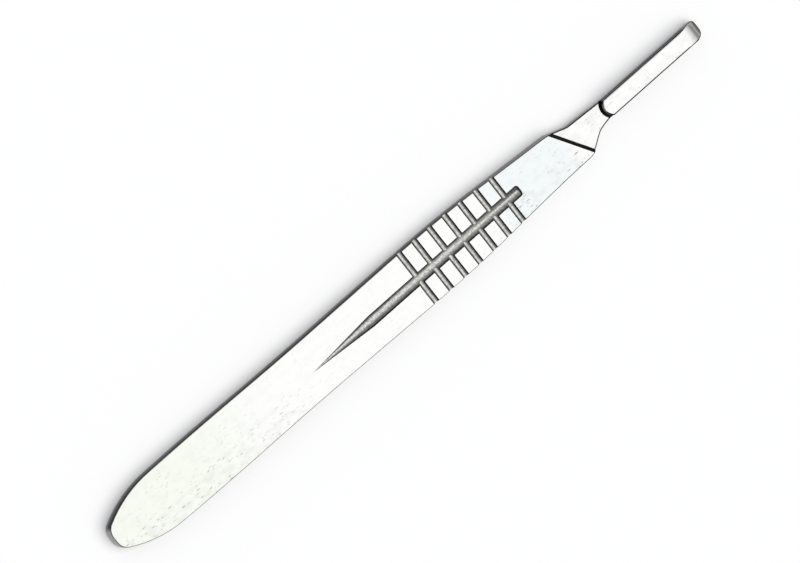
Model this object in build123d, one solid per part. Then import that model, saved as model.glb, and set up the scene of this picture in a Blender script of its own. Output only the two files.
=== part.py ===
from build123d import *
import os
from math import radians, sqrt, tan

# A one-piece steel scalpel handle for small detachable blades, lying on its back.
# Lengths are in millimetres and angles in degrees.
# The working frame has X along the flute from the rear end to the blade end,
# Y towards the upper long edge and Z up, with the table at Z = 0.

# Body
overall_length = 125.0
body_thickness = 2.35
edge_radius = 0.15

# Body outline, rear end to step
rear_end_width = 3.4
rear_corner_radius = 2.1
rear_taper_length = 10.9
rear_taper_width = 9.55     # at the front end of the taper
rear_width = 9.68           # halfway from the taper to the waist
waist_width = 9.44
waist_behind = 26.5         # narrowest part to the first cross groove
grip_width = 9.86
grip_middle_width = 9.66
grip_front_width = 8.66
shoulder_width = 7.3
rear_lean = 1.03            # the body's middle is this much higher in Y at the rear than at the step
body_offset = -0.12         # the body's middle at the step, from the flute's line

# Step from the body down to the blade seat
step_angle = 32.2           # away from square across the handle
step_run = 0.6              # the step's face slopes this far forward
seat_drop = 0.6             # deeper than a blade is thick
upper_corner_radius = 5.0
lower_corner_radius = 4.5

# Neck
neck_length = 7.65          # step to the rear end of the boss, on the flute's line
neck_thickness = 1.3
upper_neck_flare = 0.34     # how much wider the neck's root is than the tongue
lower_neck_flare = 0.42
upper_neck_run = 3.6        # upper end of the step to the neck's root
lower_neck_run = 3.1        # lower end of the step to the neck's root
upper_neck_radius = 3.0
lower_neck_radius = 4.0
tongue_root_radius = 5.0
seat_edge_radius = 0.25     # along the rim of neck and tongue, and in the foot of the step
under_ramp_length = 1.4

# Tongue that the blade slides onto
tongue_length = 20.6
tongue_width = 3.2
tongue_offset = 0.38        # its middle lies this far above the flute's line
tongue_base_thickness = 0.6
upper_tip_radius = 0.8
lower_tip_radius = 1.3
nose_length = 0.85
nose_drop = 0.42
blade_slot_height = 0.46
blade_slot_depth = 0.45
boss_side_margin = 0.1      # the boss stands this far inside the tongue's long edges
boss_thickness = 0.45
boss_rear_radius = 1.85
boss_edge_radius = 0.24
boss_tip_margin = 0.95      # bare tongue in front of the boss
boss_corner_radius = 0.6
lead_in_length = 2.6
lead_in_drop = 0.4
relief_width = 0.45         # groove in the seat round the rear end of the boss
relief_depth = 0.3

# Grip: cross grooves and the long flute, the same on both faces
groove_count = 7
groove_pitch = 3.18
groove_width = 1.14
groove_depth = 0.42
grip_to_step = 13.66        # last cross groove to the step
flute_width = 1.92
flute_depth = 0.55
flute_overhang = 2.73       # past the last cross groove
flute_end_radius = 0.5
flute_behind_grip = 10.24   # full width behind the first cross groove
flute_runout = 12.63        # pointed tail behind that

# Places that follow from the sizes above
boss_rear_x = overall_length - tongue_length
boss_front_x = overall_length - boss_tip_margin
step_x = boss_rear_x - neck_length
last_groove_x = step_x - grip_to_step
first_groove_x = last_groove_x - (groove_count - 1) * groove_pitch
flute_front_x = last_groove_x + flute_overhang
flute_full_x = first_groove_x - flute_behind_grip
flute_tail_x = flute_full_x - flute_runout
waist_x = first_groove_x - waist_behind
seat_z = body_thickness - seat_drop
neck_under_z = seat_z - neck_thickness
tongue_under_z = seat_z - tongue_base_thickness
boss_under_z = seat_z + blade_slot_height
step_slope = tan(radians(step_angle))


def middle(x):
    """Middle of the body's width, which runs straight from the rear end to the step."""
    return body_offset + rear_lean * (1 - x / step_x)


def step_corner(side):
    """End of the step's upper edge, where it meets the body's long edge; side is 1 above and -1 below."""
    y = middle(step_x) + side * shoulder_width / 2
    return Vector(step_x - step_slope * y, y)


def rear_corner(side):
    """Corner of the narrow rear end."""
    return Vector(0, middle(0) + side * rear_end_width / 2)


def tongue_edge(side):
    """Height in Y of the tongue's long edge."""
    return tongue_offset + side * tongue_width / 2


def neck_root(side):
    """Inner corner between the sloping shoulder and the neck."""
    if side > 0:
        return Vector(step_corner(1).X + upper_neck_run, tongue_edge(1) + upper_neck_flare)
    return Vector(step_corner(-1).X + lower_neck_run, tongue_edge(-1) - lower_neck_flare)


def body_edge(side):
    """Long edge of the body, from the rear taper to the step."""
    stations = [
        (rear_taper_length, rear_taper_width),
        ((rear_taper_length + waist_x) / 2, rear_width),
        (waist_x, waist_width),
        (first_groove_x, grip_width),
        ((first_groove_x + last_groove_x) / 2, grip_middle_width),
        (last_groove_x, grip_front_width),
    ]
    points = [Vector(x, middle(x) + side * width / 2) for x, width in stations]
    taper = TangentArc(points[0], rear_corner(side), tangent=(-1, rear_lean / step_x))
    long_edge = Spline(points + [step_corner(side)])
    return taper + long_edge


def plan_outline():
    """Face of the whole handle seen from above, with its corners rounded."""
    front = Polyline(
        step_corner(1),
        neck_root(1),
        (boss_rear_x, tongue_edge(1)),
        (overall_length, tongue_edge(1)),
        (overall_length, tongue_edge(-1)),
        (boss_rear_x, tongue_edge(-1)),
        neck_root(-1),
        step_corner(-1),
    )
    face = make_face(body_edge(1) + body_edge(-1) + front + Line(rear_corner(1), rear_corner(-1)))
    rounded = [
        (rear_corner(1), rear_corner_radius),
        (rear_corner(-1), rear_corner_radius),
        (step_corner(1), upper_corner_radius),
        (step_corner(-1), lower_corner_radius),
        (neck_root(1), upper_neck_radius),
        (neck_root(-1), lower_neck_radius),
        ((boss_rear_x, tongue_edge(1)), tongue_root_radius),
        ((boss_rear_x, tongue_edge(-1)), tongue_root_radius),
        ((overall_length, tongue_edge(1)), upper_tip_radius),
        ((overall_length, tongue_edge(-1)), lower_tip_radius),
    ]
    for corner, radius in rounded:
        vertex = face.vertices().sort_by_distance(corner)[0]
        face = fillet(vertex, radius)
    return face


def across(*profile):
    """Cutter much wider than the handle, with this closed profile in X and Z."""
    return extrude(make_face(Plane.XZ * Polyline(*profile, close=True)), amount=overall_length, both=True)


def along_step(cutter):
    """Cutter drawn from X = 0, turned and moved to the oblique step."""
    return Pos(step_x, 0, 0) * Rot(0, 0, step_angle) * cutter


def step_cut():
    """What is taken from above: all in front of the step's sloping face, down to the seat."""
    clear_z = seat_z + 2 * seat_drop
    return along_step(across(
        (step_run, seat_z),
        (-step_run, clear_z),
        (overall_length, clear_z),
        (overall_length, seat_z),
    ))


def under_relief():
    """What is taken from the underside: an oblique ramp at the step, then a slope up to the tongue."""
    ramp = along_step(across(
        (0, 0),
        (under_ramp_length, neck_under_z),
        (overall_length, neck_under_z),
        (overall_length, -body_thickness),
        (0, -body_thickness),
    ))
    slope_start = step_corner(-1).X + under_ramp_length
    slope = across(
        (slope_start, neck_under_z),
        (boss_rear_x, tongue_under_z),
        (2 * overall_length, tongue_under_z),
        (2 * overall_length, -body_thickness),
        (slope_start, -body_thickness),
    )
    return ramp + slope


def rounding_off(start_x, top_z, length, drop):
    """What is taken from above where a flat at top_z falls away in an arc towards the tip."""
    curve = TangentArc((start_x, top_z), (start_x + length, top_z - drop), tangent=(1, 0))
    rest = Polyline(
        (start_x + length, top_z - drop),
        (start_x + 2 * length, top_z - drop),
        (start_x + 2 * length, top_z + drop),
        (start_x, top_z + drop),
        (start_x, top_z),
    )
    return extrude(Plane.XZ * make_face(curve + rest), amount=overall_length, both=True)


def body_and_neck():
    """Plate with soft long edges, stepped down to the neck and tongue and thinned below them."""
    plate = extrude(plan_outline(), amount=body_thickness)
    rims = plate.edges().group_by(Axis.Z)
    plate = fillet(rims[0] + rims[-1], edge_radius)
    plate -= step_cut()
    plate -= under_relief()
    seat_edges = plate.edges().filter_by_position(Axis.Z, seat_z, seat_z)
    plate = fillet(seat_edges, seat_edge_radius)
    return plate - rounding_off(overall_length - nose_length, seat_z, nose_length, nose_drop)


def boss_outline(inset=0.0):
    """Plan of the boss with its round rear end, drawn in by inset all round."""
    half = tongue_width / 2 - boss_side_margin - inset
    rear = boss_rear_x + inset
    front = boss_front_x - inset
    radius = max(boss_rear_radius - inset, half)
    cap = Pos(rear + radius, tongue_offset) * Circle(radius)
    bar = Pos((rear + front) / 2, tongue_offset) * Rectangle(front - rear, 2 * half)
    tail = Pos((rear + radius + front) / 2, tongue_offset) * Rectangle(front - rear - radius, 2 * half)
    face = (cap & bar) + tail
    corners = face.vertices().group_by(Axis.X)[-1]
    return fillet(corners, boss_corner_radius - inset / 2)


def boss():
    """Blade boss: a narrow web under a wider flange that falls away at its tip."""
    web = extrude(boss_outline(blade_slot_depth), amount=blade_slot_height)
    flange = extrude(boss_outline(), amount=boss_thickness)
    flange = fillet(flange.edges().group_by(Axis.Z)[-1], boss_edge_radius)
    flange -= rounding_off(boss_front_x - lead_in_length, boss_thickness, lead_in_length, lead_in_drop)
    return Pos(0, 0, seat_z) * web + Pos(0, 0, boss_under_z) * flange


def seat_relief():
    """Groove in the seat that hugs the round rear end of the boss and runs out at the tongue's sides."""
    outer = offset(boss_outline(), amount=relief_width)
    ring = extrude(outer - boss_outline(blade_slot_depth), amount=2 * relief_depth)
    half = tongue_width / 2 - boss_side_margin
    arc_depth = boss_rear_radius - sqrt(boss_rear_radius ** 2 - half ** 2)
    keep = Pos(boss_rear_x, tongue_offset, 0) * Box(2 * arc_depth, overall_length, overall_length)
    return Pos(0, 0, seat_z - relief_depth) * (ring & keep)


def nose_radius(width, depth):
    """Radius of a round cutter that leaves a groove of this width and depth."""
    return (width * width / 4 + depth * depth) / (2 * depth)


def cross_grooves():
    """Round-nosed cutters across the whole width, one for each groove, at the height Z = 0."""
    radius = nose_radius(groove_width, groove_depth)
    cutter = Rot(90, 0, 0) * Cylinder(radius, 2 * grip_width)
    cutters = [
        Pos(first_groove_x + i * groove_pitch, 0, radius - groove_depth) * cutter
        for i in range(groove_count)
    ]
    return cutters


def flute():
    """Long round-bottomed cutter with a pointed tail and a blunt, rounded front end."""
    radius = nose_radius(flute_width, flute_depth)
    lift = radius - flute_depth
    section = Plane((flute_full_x, 0, lift), z_dir=(1, 0, 0)) * Circle(radius)
    rod = extrude(section, amount=flute_front_x - flute_full_x)
    rod = fillet(rod.edges().group_by(Axis.X)[-1], flute_end_radius)
    tail = loft([section.face(), Vertex(flute_tail_x, 0, 0)])
    return rod, tail


def grip():
    """All the cutters of the grip for the upper face and, turned over, for the underside."""
    cutters = []
    for cutter in [*cross_grooves(), *flute()]:
        cutters.append(Pos(0, 0, body_thickness) * cutter)
        cutters.append(mirror(cutter, about=Plane.XY))
    return cutters


def scalpel_handle():
    handle = body_and_neck()
    handle -= seat_relief()
    handle += boss()
    for cutter in grip():
        handle -= cutter
    box = handle.bounding_box()
    centre = box.center()
    return Pos(-centre.X, -centre.Y, -box.min.Z) * handle


os.makedirs("parts", exist_ok=True)
handle = scalpel_handle()
handle.label = "scalpel_handle"
export_step(handle, "parts/scalpel_handle.step")
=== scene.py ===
import math

import bpy
from mathutils import Matrix, Vector

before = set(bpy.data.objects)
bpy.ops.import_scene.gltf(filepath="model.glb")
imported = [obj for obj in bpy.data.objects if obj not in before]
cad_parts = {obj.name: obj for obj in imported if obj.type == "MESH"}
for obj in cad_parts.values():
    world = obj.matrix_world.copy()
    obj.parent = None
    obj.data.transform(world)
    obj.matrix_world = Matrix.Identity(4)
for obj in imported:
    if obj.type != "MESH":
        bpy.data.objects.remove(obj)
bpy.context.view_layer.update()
print("frame loaded:", sorted(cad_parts))


def linear(hexColour):
    # sRGB hex to the linear values that Blender's sockets take
    channels = [int(hexColour[i:i + 2], 16) / 255 for i in (1, 3, 5)]
    return tuple(c / 12.92 if c <= 0.04045 else ((c + 0.055) / 1.055) ** 2.4 for c in channels) + (1.0,)


def addNode(tree, kind, settings=None, inputs=None, links=None):
    # one node with its settings, its fixed inputs, and its links, given as input: output socket
    node = tree.nodes.new(kind)
    for name, value in (settings or {}).items():
        setattr(node, name, value)
    for key, value in (inputs or {}).items():
        node.inputs[key].default_value = value
    for key, socket in (links or {}).items():
        tree.links.new(socket, node.inputs[key])
    return node


def emptyMaterial(name):
    material = bpy.data.materials.new(name)
    material.use_nodes = True
    material.node_tree.nodes.clear()
    return material


def maths(tree, operation, first, second):
    # one Math node; first is a socket, second a socket or a number
    node = addNode(tree, "ShaderNodeMath", {"operation": operation}, links={0: first})
    if isinstance(second, float):
        node.inputs[1].default_value = second
    else:
        tree.links.new(second, node.inputs[1])
    return node.outputs[0]


def product(tree, first, *others):
    # of masks: 1 where all of them are 1
    for other in others:
        first = maths(tree, "MULTIPLY", first, other)
    return first


def largest(tree, first, *others):
    # of masks: 1 where any of them is 1
    for other in others:
        first = maths(tree, "MAXIMUM", first, other)
    return first


def above(tree, value, limit):
    return maths(tree, "GREATER_THAN", value, limit)


def below(tree, value, limit):
    return maths(tree, "LESS_THAN", value, limit)


def ramp(tree, value, zeroAt, oneAt, smooth=True):
    # 0 at one value and 1 at the other, whichever is larger, and level beyond both
    return addNode(
        tree, "ShaderNodeMapRange", {"interpolation_type": "SMOOTHSTEP" if smooth else "LINEAR"},
        inputs={"From Min": zeroAt, "From Max": oneAt}, links={"Value": value},
    ).outputs["Result"]


def between(tree, amount, first, second):
    # number that goes from first to second while the amount goes from 0 to 1
    return addNode(
        tree, "ShaderNodeMapRange", inputs={"To Min": first, "To Max": second},
        links={"Value": amount},
    ).outputs["Result"]


def blend(tree, amount, first, second):
    # colour between first and second; each is a hex colour or a socket
    node = addNode(tree, "ShaderNodeMix", {"data_type": "RGBA"}, links={0: amount})
    for slot, colour in ((6, first), (7, second)):
        if isinstance(colour, str):
            node.inputs[slot].default_value = linear(colour)
        else:
            tree.links.new(colour, node.inputs[slot])
    return node.outputs[2]


def stretchedCoordinates(tree, position, spacing, stretch, turn=0.0):
    # object coordinates in which a cell is spacing metres wide and stretch times longer along X
    scale = 1.0 / spacing
    turned = addNode(
        tree, "ShaderNodeMapping", inputs={"Rotation": (0, 0, turn)}, links={"Vector": position},
    )
    return addNode(
        tree, "ShaderNodeMapping",
        inputs={"Scale": (scale / stretch, scale, scale)},
        links={"Vector": turned.outputs["Vector"]},
    ).outputs["Vector"]


def noiseOf(tree, coordinates, detail, roughness=0.55):
    return addNode(
        tree, "ShaderNodeTexNoise",
        inputs={"Scale": 1.0, "Detail": detail, "Roughness": roughness},
        links={"Vector": coordinates},
    ).outputs["Fac"]


# Stainless steel, ground lengthwise on its flats and dull in its grooves and on its sides.
# Places are metres in the handle's own frame: +X is the blade's end, and +Z is up.
# A slope is how far a surface faces up or down: 1 is level and 0 upright.
# Painted reflection and shade are part of the colours below: walls, roundings, recesses, nose and the
# tints along X.
steel = {
    "rearColour": "#A9ABA5",  # painted reflection tints: a little warmer at the rear end, cooler between grip and step
    "middleColour": "#ADADAC",
    "frontColour": "#A7AAAA",
    "rearTo": -0.045,  # where each colour stops and the next one starts, along X
    "middleFrom": -0.027,
    "middleTo": 0.014,
    "frontFrom": 0.022,
    "frontTo": 0.0325,
    "neckFrom": 0.0345,
    "groundRoughness": 0.42,
    "dullRoughness": 0.36,
    "flatFrom": 0.965,  # slope from which a surface starts to count as ground, and counts in full
    "flatTo": 0.995,
    "roundedFrom": 0.5,  # share of a rounding from which a surface isn't ground
    "middleHeight": 0.001175,  # of the body
    "beltReach": 0.00113,  # the belt grinds what is farther from the middle height than this
    "seatStart": 0.030,  # and the blade fitting, from its seat upwards, as far as its nose
    "seatEnd": 0.0614,
    "seatHeight": 0.0017,
    "grooveColour": "#989894",
    "grainSize": 0.00035,  # mottling of the grooves' floors
    "grainDetail": 2.0,
    "grainFrom": 0.35,
    "grainTo": 0.65,
    "grainShade": 0.38,
    "noseColour": "#6F6E6B",  # painted shade on the rounded nose of the boss and of the tongue
    "noseFrom": 0.0600,
    # painted reflection on the side walls: dark at their top, pale at their foot towards the table
    "wallTopColour": "#0A0A0A",
    "wallFootColour": "#90908C",
    "wallTopFrom": 0.0017,  # height above which a wall is as dark as at its top
    "rearWallColour": "#B2B1AE",  # painted light: the narrow end wall, lighter than the side walls
    "rearWallFrom": -0.7,  # how far a wall is turned towards -X there
    "rearWallTo": -0.95,
    "fittingFrom": 0.004,  # along X, the body's values change into the blade fitting's from here
    "fittingTo": 0.036,
    "fittingWallShare": 0.2,  # of the walls' painted dark, left on the sides of the tongue below the boss
    "edgeColour": "#1E1E1D",  # painted dark reflection and shade on the narrow rounding round every face, also the dark end of the grooves' mottling
    "fittingEdgeColour": "#141413",  # painted shade, darker, round the blade fitting and in its recesses
    "edgeDarkShare": 0.85,  # share of the metal that the painted dark covers, on the body
    "fittingDarkShare": 1.0,
    "paintedDarkGloss": 0.04,  # how much the painted dark mirrors
    "wallTo": 0.08,  # a surface is a wall up to this slope
    "edgeFrom": 0.3,  # a rounding from here
    "edgeTo": 0.6,  # to here, and the floor of a groove or a flat above it
    "darkTo": 0.97,  # where a rounding's painted dark has faded out
    "sideFrom": 0.04,  # how far a surface is turned to one side before it counts as facing there
    "sideTo": 0.08,
    "lowerEdgeFrom": 0.9998,  # towards -Y the painted dark reaches farther round the front half's edges
    "lowerEdgeTo": 0.99,
    "upperEdgeLean": 0.05,  # added to the slope towards +Y, which narrows the painted dark on those edges
    "bossEdgeLean": 0.25,  # and on the edges of the boss that aren't turned towards -Y
    "tongueFrom": 0.0418,  # from here on the rim below the slots has no painted dark towards +Y
    "seatTop": 0.00176,
    "noseRimFrom": 0.0590,  # the painted dark line on the boss's edge towards -Y goes on where the nose cuts it away
    "noseRimInner": -0.00133,
    "noseRimOuter": -0.00139,
    "grindSpacing": 0.00012,  # between grinding lines, coarser than real grit so that they show
    "grindStretch": 40.0,  # how many times longer than wide a line is
    "grindDetail": 3.0,
    "bumpStrength": 0.35,
    "bumpHeight": 0.000004,
}

# Wear: pits and short scratches, most of them at both ends of the flats and towards -Y
wear = {
    "colour": "#6C6D68",
    "marks": (  # cell width in metres, length over width, radians from the length, reach in cells
        (0.00042, 1.7, 0.3, 0.25),
        (0.00036, 5.0, 0.06, 0.26),
        (0.00040, 4.0, -0.22, 0.24),
    ),
    "core": 0.5,  # share of a mark's reach inside which it is darkest
    "share": 0.7,  # of the cells that carry a mark
    "strength": 0.95,
    "areaSize": 0.003,  # marks lie in areas of about this size
    "areaStretch": 1.6,
    "areaDetail": 1.0,
    "areaFrom": 0.36,
    "areaTo": 0.54,
    "patchSize": 0.0012,  # soft duller patches between the marks
    "patchStretch": 1.8,
    "patchDetail": 2.0,
    "patchFrom": 0.4,
    "patchTo": 0.7,
    "patchStrength": 0.15,
    "rearTo": -0.018,  # worn behind this along X
    "rearFade": 0.014,
    "frontFrom": 0.016,  # and in front of this
    "frontFade": 0.006,
    "leastStrength": 0.25,
    "upperStrength": 0.4,  # on the half that lies towards +Y
    "upperFrom": 0.001,
    "lowerFrom": -0.002,
    "neckFrom": 0.0315,  # the neck is as worn on that half as on the other
    "neckTo": 0.0415,
    "neckFade": 0.002,
}


def surfaceOf(tree):
    # what the parts of the finish are told by: where a point is and which way it faces
    coordinates = addNode(tree, "ShaderNodeTexCoord").outputs
    place = addNode(tree, "ShaderNodeSeparateXYZ", links={0: coordinates["Object"]}).outputs
    normal = addNode(tree, "ShaderNodeSeparateXYZ", links={0: coordinates["Normal"]}).outputs
    slopeNode = addNode(tree, "ShaderNodeMath", {"operation": "ABSOLUTE"}, links={0: normal["Z"]})
    slope = slopeNode.outputs[0]
    towardsFitting = ramp(tree, place["X"], steel["fittingFrom"], steel["fittingTo"])
    facingUpper = ramp(tree, normal["Y"], steel["sideFrom"], steel["sideTo"])
    notFacingLower = ramp(tree, normal["Y"], -steel["sideTo"], -steel["sideFrom"])
    onBoss = product(
        tree, above(tree, place["Z"], steel["seatTop"]), above(tree, place["X"], steel["tongueFrom"]),
    )
    upperEdges = product(tree, towardsFitting, facingUpper, steel["upperEdgeLean"])
    bossEdges = product(
        tree, notFacingLower, below(tree, slope, steel["flatTo"]), onBoss,
        below(tree, place["X"], steel["noseFrom"]), steel["bossEdgeLean"],
    )
    return {
        "position": coordinates["Object"],
        "place": place,
        "normal": normal,
        "slope": slope,
        "lean": maths(tree, "ADD", slope, largest(tree, upperEdges, bossEdges)),
        "towardsFitting": towardsFitting,
        "onBoss": onBoss,
    }


def roundings(tree, surface):
    # 1 where a surface is neither a wall nor nearly level, for the painted dark reflection and shade on
    # roundings
    place, normal, slope = surface["place"], surface["normal"], surface["slope"]
    fromWall = ramp(tree, slope, steel["wallTo"], steel["edgeFrom"])
    anywhere = ramp(tree, surface["lean"], steel["darkTo"], steel["edgeTo"])
    lowerEdges = product(
        tree, surface["towardsFitting"],
        ramp(tree, normal["Y"], -steel["sideFrom"], -steel["sideTo"]),
        ramp(tree, slope, steel["lowerEdgeFrom"], steel["lowerEdgeTo"]),
    )
    noseRim = product(
        tree, above(tree, place["X"], steel["noseRimFrom"]), above(tree, place["Z"], steel["seatTop"]),
        ramp(tree, place["Y"], steel["noseRimInner"], steel["noseRimOuter"]),
    )
    rimWithoutPaintedDark = product(
        tree, above(tree, place["X"], steel["tongueFrom"]), below(tree, place["Z"], steel["seatTop"]),
        above(tree, normal["Y"], steel["sideFrom"]),
    )
    dark = maths(tree, "SUBTRACT", largest(tree, anywhere, lowerEdges, noseRim), rimWithoutPaintedDark)
    return product(tree, fromWall, largest(tree, dark, 0.0))


def groundFaces(tree, surface, rounding):
    # 1 on the level faces that the belt reached: the body's two faces, the blade fitting from its
    # seat up, and its underside
    place = surface["place"]
    level = ramp(tree, surface["lean"], steel["flatFrom"], steel["flatTo"])
    notRounded = below(tree, rounding, steel["roundedFrom"])
    height = maths(tree, "SUBTRACT", place["Z"], steel["middleHeight"])
    fromMiddle = addNode(tree, "ShaderNodeMath", {"operation": "ABSOLUTE"}, links={0: height})
    body = above(tree, fromMiddle.outputs[0], steel["beltReach"])
    inFront = above(tree, place["X"], steel["seatStart"])
    fitting = product(
        tree, inFront, below(tree, place["X"], steel["seatEnd"]),
        above(tree, place["Z"], steel["seatHeight"]),
    )
    underside = product(tree, inFront, below(tree, place["Z"], steel["middleHeight"]))
    return product(tree, level, notRounded, largest(tree, body, fitting, underside))


def markSet(tree, position, spacing, stretch, turn, reach):
    # one short mark in some of the cells, each as dark as its cell's random colour says
    cells = addNode(
        tree, "ShaderNodeTexVoronoi", inputs={"Scale": 1.0},
        links={"Vector": stretchedCoordinates(tree, position, spacing, stretch, turn)},
    ).outputs
    inside = ramp(tree, cells["Distance"], reach, reach * wear["core"])
    chance = addNode(tree, "ShaderNodeSeparateXYZ", links={0: cells["Color"]}).outputs["X"]
    return product(tree, inside, ramp(tree, chance, 1 - wear["share"], 1.0, smooth=False))


def scratches(tree, surface):
    # marks in the areas where a broad noise is high, and soft patches, both fewer at mid length
    position, place = surface["position"], surface["place"]
    areas = stretchedCoordinates(tree, position, wear["areaSize"], wear["areaStretch"])
    areaNoise = noiseOf(tree, areas, wear["areaDetail"])
    spots = stretchedCoordinates(tree, position, wear["patchSize"], wear["patchStretch"])
    patchNoise = noiseOf(tree, spots, wear["patchDetail"])
    marks = product(
        tree, largest(tree, *(markSet(tree, position, *cell) for cell in wear["marks"])),
        ramp(tree, areaNoise, wear["areaFrom"], wear["areaTo"]), wear["strength"],
    )
    patches = product(
        tree, ramp(tree, patchNoise, wear["patchFrom"], wear["patchTo"]), wear["patchStrength"],
    )
    ends = largest(
        tree,
        ramp(tree, place["X"], wear["rearTo"], wear["rearTo"] - wear["rearFade"]),
        ramp(tree, place["X"], wear["frontFrom"], wear["frontFrom"] + wear["frontFade"]),
    )
    neck = product(
        tree,
        ramp(tree, place["X"], wear["neckFrom"], wear["neckFrom"] + wear["neckFade"]),
        ramp(tree, place["X"], wear["neckTo"], wear["neckTo"] - wear["neckFade"]),
    )
    lower = ramp(tree, place["Y"], wear["upperFrom"], wear["lowerFrom"])
    across = largest(tree, lower, neck, wear["upperStrength"])
    share = largest(tree, product(tree, ends, across), wear["leastStrength"])
    return product(tree, maths(tree, "ADD", marks, patches), share)


def flatColour(tree, surface):
    # the flats' three painted reflection tints one after the other along X, and the wear on them
    alongX = surface["place"]["X"]
    forward = ramp(tree, alongX, steel["rearTo"], steel["middleFrom"])
    front = product(
        tree,
        ramp(tree, alongX, steel["middleTo"], steel["frontFrom"]),
        ramp(tree, alongX, steel["neckFrom"], steel["frontTo"]),
    )
    rearToMiddle = blend(tree, forward, steel["rearColour"], steel["middleColour"])
    clean = blend(tree, front, rearToMiddle, steel["frontColour"])
    return blend(tree, scratches(tree, surface), clean, wear["colour"])


def dullColour(tree, surface, rounding, wallDarkness):
    # painted reflection on the walls, pale towards the table and dark at the top, the grooves' floors
    # grey and mottled, painted shade in the fitting's recesses and on its nose, and painted dark on
    # narrow roundings
    place, normal = surface["place"], surface["normal"]
    side = blend(tree, wallDarkness, steel["wallFootColour"], steel["wallTopColour"])
    rearWall = ramp(tree, normal["X"], steel["rearWallFrom"], steel["rearWallTo"])
    wall = blend(tree, rearWall, side, steel["rearWallColour"])
    grains = stretchedCoordinates(tree, surface["position"], steel["grainSize"], 1.0)
    grain = noiseOf(tree, grains, steel["grainDetail"])
    mottled = product(
        tree, ramp(tree, grain, steel["grainFrom"], steel["grainTo"]), steel["grainShade"],
    )
    # painted shade: the recesses of the blade fitting near black, the nose grey
    inRecess = product(
        tree, above(tree, place["X"], steel["seatStart"]), above(tree, place["Z"], steel["middleHeight"]),
    )
    onNose = above(tree, place["X"], steel["noseFrom"])
    floor = blend(
        tree, inRecess,
        blend(tree, mottled, steel["grooveColour"], steel["edgeColour"]),
        blend(tree, onNose, steel["fittingEdgeColour"], steel["noseColour"]),
    )
    isFloor = above(tree, surface["slope"], steel["edgeTo"])
    edge = blend(tree, surface["towardsFitting"], steel["edgeColour"], steel["fittingEdgeColour"])
    return blend(tree, rounding, blend(tree, isFloor, wall, floor), edge)


def groundSteel():
    # Stainless steel, faces ground lengthwise on a belt, then tumbled: the flats shine pale with
    # fine lines, and the grooves and side walls, which the belt doesn't reach, stay a duller grey.
    # Painted reflection and shade darken the walls' tops, the roundings, the blade fitting's recesses and
    # its nose, and tint the flats along X.
    material = emptyMaterial("satinGroundStainlessSteel")
    tree = material.node_tree
    surface = surfaceOf(tree)
    rounding = roundings(tree, surface)
    ground = groundFaces(tree, surface, rounding)
    wallShare = between(tree, surface["towardsFitting"], 1.0, steel["fittingWallShare"])
    # painted reflection on the walls, darkest at their top
    wallDarkness = product(
        tree, ramp(tree, surface["place"]["Z"], 0.0, steel["wallTopFrom"], smooth=False),
        largest(tree, wallShare, surface["onBoss"]),
    )
    colour = blend(
        tree, ground, dullColour(tree, surface, rounding, wallDarkness), flatColour(tree, surface),
    )
    onWall = product(
        tree, wallDarkness, ramp(tree, surface["slope"], steel["edgeFrom"], steel["wallTo"]),
    )
    # painted dark reflection and shade on roundings and wall tops, which also takes the metal's own
    # reflection away there
    scale = product(
        tree, largest(tree, rounding, onWall),
        between(tree, surface["towardsFitting"], steel["edgeDarkShare"], steel["fittingDarkShare"]),
    )
    metallic = between(tree, scale, 1.0, 0.0)
    roughness = between(tree, ground, steel["dullRoughness"], steel["groundRoughness"])
    lines = stretchedCoordinates(
        tree, surface["position"], steel["grindSpacing"], steel["grindStretch"],
    )
    bump = addNode(
        tree, "ShaderNodeBump",
        inputs={"Strength": steel["bumpStrength"], "Distance": steel["bumpHeight"]},
        links={"Height": noiseOf(tree, lines, steel["grindDetail"])},
    ).outputs["Normal"]
    shader = addNode(
        tree, "ShaderNodeBsdfPrincipled", inputs={"Specular IOR Level": steel["paintedDarkGloss"]},
        links={"Base Color": colour, "Metallic": metallic, "Roughness": roughness, "Normal": bump},
    ).outputs["BSDF"]
    addNode(tree, "ShaderNodeOutputMaterial", links={"Surface": shader})
    return material


def seenDirectly(tree):
    # 1 for the camera, for reflections and for light through glass, 0 for light on dull surfaces
    path = addNode(tree, "ShaderNodeLightPath").outputs
    return largest(tree, path["Is Camera Ray"], path["Is Glossy Ray"], path["Is Transmission Ray"])


# The table: wide enough to fill every view
floorLook = {
    "size": 30.0,
    "gap": 0.00001,  # below the handle, so that the two don't share a plane
    "colour": "#FCFCFC",
    "lift": 0.13,  # light of its own, seen directly only, so that the shadow stays
}


def paleTable():
    # matt white board: the shadow falls on it, and a little light of its own lifts it to white
    material = emptyMaterial("mattWhiteBoard")
    tree = material.node_tree
    board = addNode(tree, "ShaderNodeBsdfDiffuse", inputs={"Color": linear(floorLook["colour"])})
    glow = addNode(
        tree, "ShaderNodeEmission", inputs={"Color": (1, 1, 1, 1)},
        links={"Strength": product(tree, seenDirectly(tree), floorLook["lift"])},
    )
    both = addNode(tree, "ShaderNodeAddShader", links={0: board.outputs[0], 1: glow.outputs[0]})
    addNode(tree, "ShaderNodeOutputMaterial", links={"Surface": both.outputs[0]})
    return material


def makeFloor():
    half = floorLook["size"] / 2
    corners = [(-half, -half), (half, -half), (half, half), (-half, half)]
    mesh = bpy.data.meshes.new("tableTop")
    mesh.from_pydata([(x, y, -floorLook["gap"]) for x, y in corners], [], [(0, 1, 2, 3)])
    mesh.materials.append(paleTable())
    floor = bpy.data.objects.new("tableTop", mesh)
    bpy.context.scene.collection.objects.link(floor)


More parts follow.
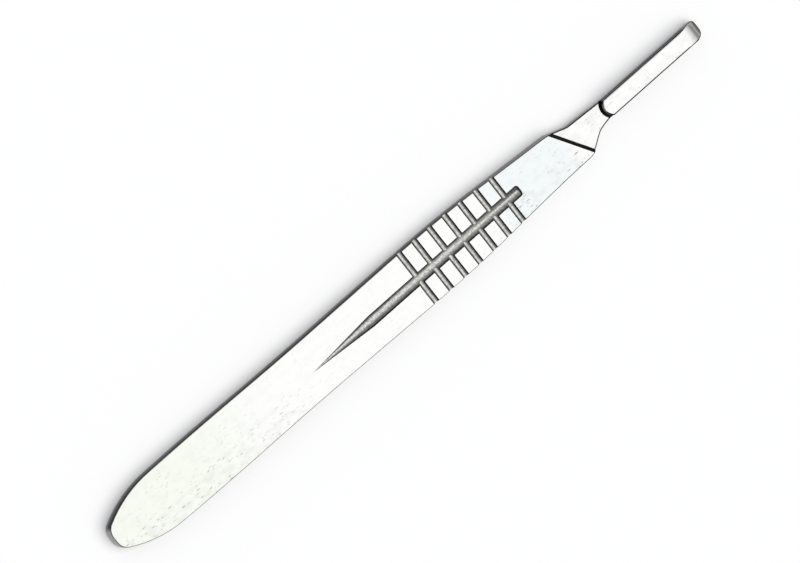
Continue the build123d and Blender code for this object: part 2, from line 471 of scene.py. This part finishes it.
# Light: a wide soft window high up, where a level face mirrors it to the camera, and a pale room
light = {
    "windowAngle": 62.0,  # degrees across, as the object sees it
    "windowHeight": 68.0,  # degrees above the table
    "windowCompass": -52.0,  # degrees from +X towards +Y
    "windowStrength": 1.8,
    "windowColour": "#FFFEFB",
    "roomColour": "#F6F8FF",
    "roomStrength": 0.39,  # as the room lights dull surfaces
    "seenStrength": 0.9,  # as the camera and reflections see it; 1 is white
}


def makeRoom():
    world = bpy.data.worlds.new("paleRoom")
    bpy.context.scene.world = world
    world.use_nodes = True
    tree = world.node_tree
    tree.nodes.clear()
    strength = between(tree, seenDirectly(tree), light["roomStrength"], light["seenStrength"])
    background = addNode(
        tree, "ShaderNodeBackground", inputs={"Color": linear(light["roomColour"])},
        links={"Strength": strength},
    )
    addNode(tree, "ShaderNodeOutputWorld", links={"Surface": background.outputs[0]})


def makeWindow():
    # a sun lamp as wide as a window, so that the table is lit evenly as far as it goes
    compass, height = math.radians(light["windowCompass"]), math.radians(light["windowHeight"])
    direction = Vector((
        math.cos(compass) * math.cos(height),
        math.sin(compass) * math.cos(height),
        math.sin(height),
    ))
    lamp = bpy.data.lights.new("softWindow", "SUN")
    lamp.angle = math.radians(light["windowAngle"])
    lamp.energy = light["windowStrength"]
    lamp.color = linear(light["windowColour"])[:3]
    window = bpy.data.objects.new("softWindow", lamp)
    bpy.context.scene.collection.objects.link(window)
    window.location = direction
    window.rotation_euler = direction.to_track_quat("Z", "Y").to_euler()


# The photograph: what its camera sees, in pixels of its own frame and in real sizes
photo = {
    "width": 800,
    "height": 563,
    "anchorX": 406.4,  # pixel that shows the anchor point
    "anchorY": 285.65,
    "anchor": (-0.00072, 0.00011, 0.00235),  # a point on the upper face, near the middle
    "metresPerPixel": 0.000155,
    "tilt": 19.9,  # degrees between the line of sight and straight down
    "towards": 140.2,  # compass of the camera seen from the object, from +X towards +Y
    "roll": 39.81,  # degrees that +X is turned from the picture's right-hand side
    "distance": 3.0,  # far off with a long lens, so that the length is drawn at one scale
    "sensorWidth": 36.0,  # millimetres
    "clipStart": 0.01,
    "clipEnd": 20.0,
}


def makeCamera():
    # The camera's axes come from the tilt, the compass and the roll of the photograph.
    tilt, compass, roll = (math.radians(photo[key]) for key in ("tilt", "towards", "roll"))
    back = Vector((
        math.sin(tilt) * math.cos(compass),
        math.sin(tilt) * math.sin(compass),
        math.cos(tilt),
    ))
    levelRight = Vector((math.cos(roll), -math.sin(roll), 0))
    right = (levelRight - back * levelRight.dot(back)).normalized()
    up = back.cross(right)
    scale = photo["metresPerPixel"]
    centre = (
        Vector(photo["anchor"])
        + right * (photo["width"] / 2 - photo["anchorX"]) * scale
        - up * (photo["height"] / 2 - photo["anchorY"]) * scale
    )
    lens = bpy.data.cameras.new("photoCamera")
    lens.sensor_width = photo["sensorWidth"]
    lens.lens = photo["sensorWidth"] * photo["distance"] / (photo["width"] * scale)
    lens.clip_start, lens.clip_end = photo["clipStart"], photo["clipEnd"]
    camera = bpy.data.objects.new("photoCamera", lens)
    bpy.context.scene.collection.objects.link(camera)
    turn = Matrix((right, up, back)).transposed().to_4x4()
    camera.matrix_world = Matrix.Translation(centre + back * photo["distance"]) @ turn
    bpy.context.scene.camera = camera


bpy.context.scene.view_settings.view_transform = "Standard"
makeRoom()
makeWindow()
makeFloor()
makeCamera()
print("camera, light and table made")

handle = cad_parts["scalpel_handle"]
handle.data.materials.clear()
handle.data.materials.append(groundSteel())
print("steel finish applied")
